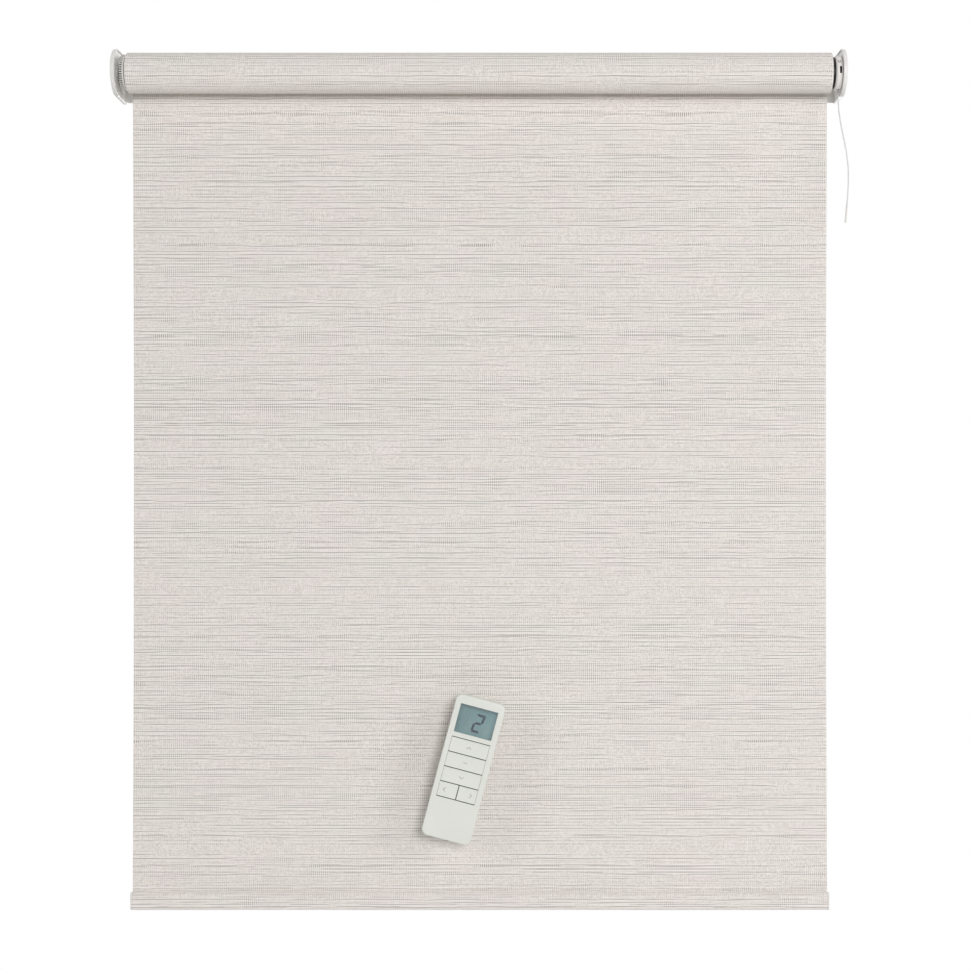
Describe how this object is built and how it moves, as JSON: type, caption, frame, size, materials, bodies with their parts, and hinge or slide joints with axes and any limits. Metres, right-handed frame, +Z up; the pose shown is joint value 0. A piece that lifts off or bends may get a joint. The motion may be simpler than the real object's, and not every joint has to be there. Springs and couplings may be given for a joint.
{
  "type": "motorized roller blind",
  "caption": "Roller blind with a battery motor inside its tube, wall brackets with covers, a bottom bar in a hem, an antenna wire and a hand transmitter.",
  "frame": {"origin": "on the wall, midway between the two brackets, level with the tube axis", "axes": "+X along the tube towards the motor end, +Y into the wall, +Z up"},
  "size_m": [0.7321, 0.0594, 0.8614],
  "materials": {
    "bracket_paint": "white powder coat",
    "cover_plastic": "white moulded plastic, softly glossy",
    "head_plastic": "white moulded plastic",
    "button_plastic": "white, matte",
    "wheel_plastic": "white moulded plastic",
    "black_plastic": "black nylon",
    "grey_plastic": "light grey nylon",
    "tube_aluminium": "mill finish",
    "casing_steel": "zinc plated",
    "spring_steel": "bright",
    "port_metal": "bright shell, dark inside",
    "board_green": "solder mask",
    "cell_wrap": "shrink wrap",
    "coin_metal": "bright",
    "cartridge_metal": "sintered",
    "gear_steel": "machined",
    "ring_acetal": "acetal",
    "cloth": "slub weave, matte",
    "bar_aluminium": "mill finish",
    "cap_plastic": "cream",
    "wire_white": "white insulation",
    "tip_grey": "shrink sleeve",
    "remote_shell": "pale greenish white",
    "remote_keys": "pale greenish white",
    "keypad_rubber": "black silicone",
    "display_teal": "reflective liquid-crystal panel",
    "lens_clear": "clear",
    "holder_black": "black"
  },
  "bodies": {
    "mounting": {"motor_bracket": "bracket_paint", "idle_bracket": "bracket_paint", "motor_cover": "cover_plastic", "idle_cover": "cover_plastic", "motor_head": "head_plastic", "head_base": "head_plastic", "set_switch": "black_plastic", "pin_bush": "grey_plastic", "cell_sleeve": "grey_plastic", "output_bearing": "grey_plastic", "motor_casing": "casing_steel", "dc_motor": "casing_steel", "head_clip": "spring_steel", "battery_contact": "spring_steel", "charging_port": "port_metal", "control_board": "board_green", "remote_board": "board_green", "battery_cells": "cell_wrap", "coin_cell": "coin_metal", "gear_cartridge": "cartridge_metal", "ring_gear": "ring_acetal", "cloth_sheet": "cloth", "antenna_wire": "wire_white", "antenna_tip": "tip_grey", "remote_front_case": "remote_shell", "remote_back_case": "remote_shell", "remote_keypad": "keypad_rubber", "remote_display": "display_teal", "remote_lens": "lens_clear", "cell_holder": "holder_black"},
    "roller": {"roller_tube": "tube_aluminium", "cloth_spline": "grey_plastic", "cloth_roll": "cloth", "crown_ring": "black_plastic", "drive_wheel": "black_plastic", "planet_carrier": "gear_steel", "shaft_clip": "spring_steel", "idle_plug": "grey_plastic"},
    "bar": {"bottom_bar": "bar_aluminium", "left_bar_cap": "cap_plastic", "right_bar_cap": "cap_plastic", "hem_pocket": "cloth"},
    "sun_gear": {"sun_gear": "gear_steel"},
    "planet_gear_1": {"planet_gear_1": "gear_steel"},
    "planet_gear_2": {"planet_gear_2": "gear_steel"},
    "planet_gear_3": {"planet_gear_3": "gear_steel"},
    "thumbwheel": {"thumbwheel": "wheel_plastic"},
    "idle_pin": {"idle_pin": "spring_steel"},
    "set_button": {"set_button": "button_plastic"},
    "battery_door": {"battery_door": "remote_shell"},
    "key_up": {"key_up": "remote_keys"},
    "key_stop": {"key_stop": "remote_keys"},
    "key_down": {"key_down": "remote_keys"},
    "key_left": {"key_left": "remote_keys"},
    "key_right": {"key_right": "remote_keys"}
  },
  "joints": [
    {"name": "roller_turn", "type": "hinge", "parent": "mounting", "child": "roller", "pos_m": [0, -0.036, 0], "axis": [1, 0, 0], "range_deg": [0, 2073]},
    {"name": "bar_lift", "type": "slide", "parent": "mounting", "child": "bar", "axis": [0, 0, 1], "range_m": [0, 0.76], "deforming": ["cloth_sheet"]},
    {"name": "sun_turn", "type": "hinge", "parent": "mounting", "child": "sun_gear", "pos_m": [0.07, -0.036, 0], "axis": [1, 0, 0], "range_deg": [0, 7464]},
    {"name": "planet_turn_1", "type": "hinge", "parent": "roller", "child": "planet_gear_1", "pos_m": [0.07, -0.02925, 0], "axis": [1, 0, 0], "range_deg": [-6740, 0]},
    {"name": "planet_turn_2", "type": "hinge", "parent": "roller", "child": "planet_gear_2", "pos_m": [0.07, -0.03938, 0.00585], "axis": [1, 0, 0], "range_deg": [-6740, 0]},
    {"name": "planet_turn_3", "type": "hinge", "parent": "roller", "child": "planet_gear_3", "pos_m": [0.07, -0.03938, -0.00585], "axis": [1, 0, 0], "range_deg": [-6740, 0]},
    {"name": "thumbwheel_turn", "type": "hinge", "parent": "roller", "child": "thumbwheel", "pos_m": [-0.35, -0.036, 0], "axis": [1, 0, 0], "range_deg": [0, 720]},
    {"name": "idle_pin_slide", "type": "slide", "parent": "roller", "child": "idle_pin", "axis": [1, 0, 0], "range_m": [0, 0.0035]},
    {"name": "set_button_press", "type": "slide", "parent": "mounting", "child": "set_button", "axis": [0, 0.8572, -0.515], "range_m": [0, 0.0005], "stiffness_N_per_m": 600},
    {"name": "battery_door_slide", "type": "slide", "parent": "mounting", "child": "battery_door", "axis": [-0.2571, 0, -0.9664], "range_m": [0, 0.015]},
    {"name": "key_up_press", "type": "slide", "parent": "mounting", "child": "key_up", "axis": [0, 1, 0], "range_m": [0, 0.0008], "stiffness_N_per_m": 500},
    {"name": "key_stop_press", "type": "slide", "parent": "mounting", "child": "key_stop", "axis": [0, 1, 0], "range_m": [0, 0.0008], "stiffness_N_per_m": 500},
    {"name": "key_down_press", "type": "slide", "parent": "mounting", "child": "key_down", "axis": [0, 1, 0], "range_m": [0, 0.0008], "stiffness_N_per_m": 500},
    {"name": "key_left_press", "type": "slide", "parent": "mounting", "child": "key_left", "axis": [0, 1, 0], "range_m": [0, 0.0008], "stiffness_N_per_m": 500},
    {"name": "key_right_press", "type": "slide", "parent": "mounting", "child": "key_right", "axis": [0, 1, 0], "range_m": [0, 0.0008], "stiffness_N_per_m": 500}
  ],
  "couplings": [
    {"joint": "bar_lift", "follows": "roller_turn", "m_per_rad": 0.021},
    {"joint": "sun_turn", "follows": "roller_turn", "ratio": 3.6},
    {"joint": "planet_turn_1", "follows": "roller_turn", "ratio": -3.25},
    {"joint": "planet_turn_2", "follows": "roller_turn", "ratio": -3.25},
    {"joint": "planet_turn_3", "follows": "roller_turn", "ratio": -3.25},
    {"joint": "thumbwheel_turn", "follows": "idle_pin_slide", "rad_per_m": 3571.4}
  ]
}
